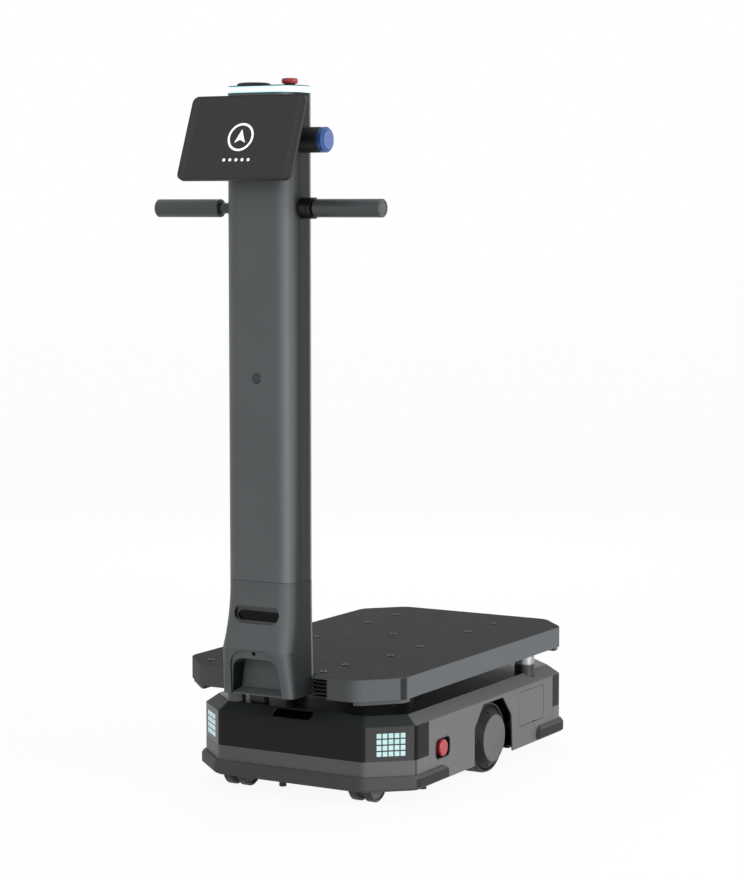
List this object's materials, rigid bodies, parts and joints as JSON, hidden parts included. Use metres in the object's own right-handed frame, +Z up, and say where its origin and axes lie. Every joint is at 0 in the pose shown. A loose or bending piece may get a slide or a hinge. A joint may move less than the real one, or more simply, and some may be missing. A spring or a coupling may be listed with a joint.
{
  "type": "autonomous mobile robot",
  "caption": "Low wheeled load-carrying robot with a chamfered deck, sprung-arm drive wheels, casters and a front column with tilted screen, handle bar and emergency stops.",
  "frame": {"origin": "on the floor, under the middle of the overall length and width", "axes": "+Z up, -Y the way the column and the screen face, +X the side with the blue button"},
  "size_m": [0.491, 0.956, 1.35],
  "materials": {
    "body_grey": "fine-textured moulded",
    "cover_grey": "fine-textured moulded",
    "gloss_black": "polished",
    "window_black": "polished, infrared-clear",
    "matte_black": "fine-textured moulded",
    "light_cell": "diffusing, lit",
    "ring_light": "diffusing, lit",
    "bumper_rubber": "matt rubber",
    "stop_red": "semi-gloss",
    "button_blue": "semi-gloss",
    "bezel_blue": "semi-gloss",
    "frame_steel": "powder-coated",
    "bright_steel": "turned",
    "deck_paint": "fine powder coat",
    "column_paint": "satin anodised look",
    "tread": "matt polyurethane",
    "hub_grey": "satin",
    "caster_tread": "matt polyurethane",
    "caster_steel": "zinc and black",
    "bush_rubber": "matt rubber",
    "battery_case": "satin",
    "heatsink": "anodised",
    "sensor_black": "matt",
    "screen_case": "fine-textured moulded",
    "screen_face": "etched glass",
    "bar_metal": "satin",
    "grip_rubber": "fine foam rubber",
    "collar_black": "black oxide"
  },
  "bodies": {
    "root": {"chassis_frame": "frame_steel", "top_cover": "cover_grey", "front_sensor_window": "window_black", "side_panel_right": "body_grey", "side_panel_left": "body_grey", "front_skirt": "body_grey", "rear_skirt": "body_grey", "front_light_panel": "gloss_black", "rear_light_panel": "gloss_black", "corner_light_cells": "light_cell", "front_bumper": "bumper_rubber", "rear_bumper": "bumper_rubber", "side_estop_cups": "matte_black", "estop_collars": "matte_black", "charging_socket": "matte_black", "pivot_bushes": "bush_rubber", "caster_mounts": "caster_steel", "battery_pack": "battery_case", "controller_box": "heatsink", "cliff_sensors": "sensor_black", "deck_posts": "bright_steel", "deck_frame": "frame_steel", "deck": "deck_paint", "deck_vents": "matte_black", "column_bracket": "frame_steel", "column_foot": "column_paint", "foot_recess_panel": "column_paint", "foot_camera_window": "window_black", "column_tube": "column_paint", "column_plug": "bar_metal", "light_ring": "ring_light", "top_cap": "matte_black", "ceiling_camera": "matte_black", "screen_housing": "screen_case", "screen_glass": "screen_face", "handle_rod": "bar_metal", "handle_grips": "grip_rubber", "handle_collar": "collar_black", "button_housing": "matte_black", "button_bezel": "bezel_blue", "harness_outlet": "matte_black"},
    "left_arm": {"suspension_arm_left": "frame_steel"},
    "left_drive_wheel": {"drive_tire_left": "tread", "drive_hub_left": "hub_grey"},
    "right_arm": {"suspension_arm_right": "frame_steel"},
    "right_drive_wheel": {"drive_tire_right": "tread", "drive_hub_right": "hub_grey"},
    "front_left_caster": {"caster_fork_front_left": "caster_steel"},
    "front_left_caster_wheels": {"caster_wheels_front_left": "caster_tread"},
    "front_right_caster": {"caster_fork_front_right": "caster_steel"},
    "front_right_caster_wheels": {"caster_wheels_front_right": "caster_tread"},
    "rear_left_caster": {"caster_fork_rear_left": "caster_steel"},
    "rear_left_caster_wheels": {"caster_wheels_rear_left": "caster_tread"},
    "rear_right_caster": {"caster_fork_rear_right": "caster_steel"},
    "rear_right_caster_wheels": {"caster_wheels_rear_right": "caster_tread"},
    "left_stop_button": {"side_estop_left": "stop_red"},
    "right_stop_button": {"side_estop_right": "stop_red"},
    "top_stop_button": {"top_estop_head": "stop_red"},
    "go_button": {"go_button": "button_blue"},
    "service_door": {"service_door": "body_grey"}
  },
  "joints": [
    {"name": "left_arm_pivot", "type": "hinge", "parent": "root", "child": "left_arm", "pos_m": [-0.1655, -0.012, 0.0705], "axis": [1, 0, 0], "range_deg": [-3.5, 3.5]},
    {"name": "left_drive_wheel_spin", "type": "hinge", "parent": "left_arm", "child": "left_drive_wheel", "pos_m": [-0.206, 0.0915, 0.0705], "axis": [1, 0, 0], "continuous": true},
    {"name": "right_arm_pivot", "type": "hinge", "parent": "root", "child": "right_arm", "pos_m": [0.1655, -0.012, 0.0705], "axis": [1, 0, 0], "range_deg": [-3.5, 3.5]},
    {"name": "right_drive_wheel_spin", "type": "hinge", "parent": "right_arm", "child": "right_drive_wheel", "pos_m": [0.206, 0.0915, 0.0705], "axis": [1, 0, 0], "continuous": true},
    {"name": "front_left_caster_swivel", "type": "hinge", "parent": "root", "child": "front_left_caster", "pos_m": [-0.14, -0.215, 0.09], "axis": [0, 0, 1], "continuous": true},
    {"name": "front_left_caster_roll", "type": "hinge", "parent": "front_left_caster", "child": "front_left_caster_wheels", "pos_m": [-0.14, -0.236, 0.033], "axis": [1, 0, 0], "continuous": true},
    {"name": "front_right_caster_swivel", "type": "hinge", "parent": "root", "child": "front_right_caster", "pos_m": [0.14, -0.215, 0.09], "axis": [0, 0, 1], "continuous": true},
    {"name": "front_right_caster_roll", "type": "hinge", "parent": "front_right_caster", "child": "front_right_caster_wheels", "pos_m": [0.14, -0.236, 0.033], "axis": [1, 0, 0], "continuous": true},
    {"name": "rear_left_caster_swivel", "type": "hinge", "parent": "root", "child": "rear_left_caster", "pos_m": [-0.14, 0.4, 0.09], "axis": [0, 0, 1], "continuous": true},
    {"name": "rear_left_caster_roll", "type": "hinge", "parent": "rear_left_caster", "child": "rear_left_caster_wheels", "pos_m": [-0.14, 0.379, 0.033], "axis": [1, 0, 0], "continuous": true},
    {"name": "rear_right_caster_swivel", "type": "hinge", "parent": "root", "child": "rear_right_caster", "pos_m": [0.14, 0.4, 0.09], "axis": [0, 0, 1], "continuous": true},
    {"name": "rear_right_caster_roll", "type": "hinge", "parent": "rear_right_caster", "child": "rear_right_caster_wheels", "pos_m": [0.14, 0.379, 0.033], "axis": [1, 0, 0], "continuous": true},
    {"name": "left_stop_push", "type": "slide", "parent": "root", "child": "left_stop_button", "axis": [1, 0, 0], "range_m": [0, 0.004], "stiffness_N_per_m": 1500},
    {"name": "right_stop_push", "type": "slide", "parent": "root", "child": "right_stop_button", "axis": [-1, 0, 0], "range_m": [0, 0.004], "stiffness_N_per_m": 1500},
    {"name": "top_stop_push", "type": "slide", "parent": "root", "child": "top_stop_button", "axis": [0, 0, -1], "range_m": [0, 0.0025], "stiffness_N_per_m": 1500},
    {"name": "go_button_push", "type": "slide", "parent": "root", "child": "go_button", "axis": [-1, 0, 0], "range_m": [0, 0.0025], "stiffness_N_per_m": 1000},
    {"name": "service_door_hinge", "type": "hinge", "parent": "root", "child": "service_door", "pos_m": [0.235, 0.26615, 0.1355], "axis": [0, -1, 0], "range_deg": [0, 80]}
  ]
}
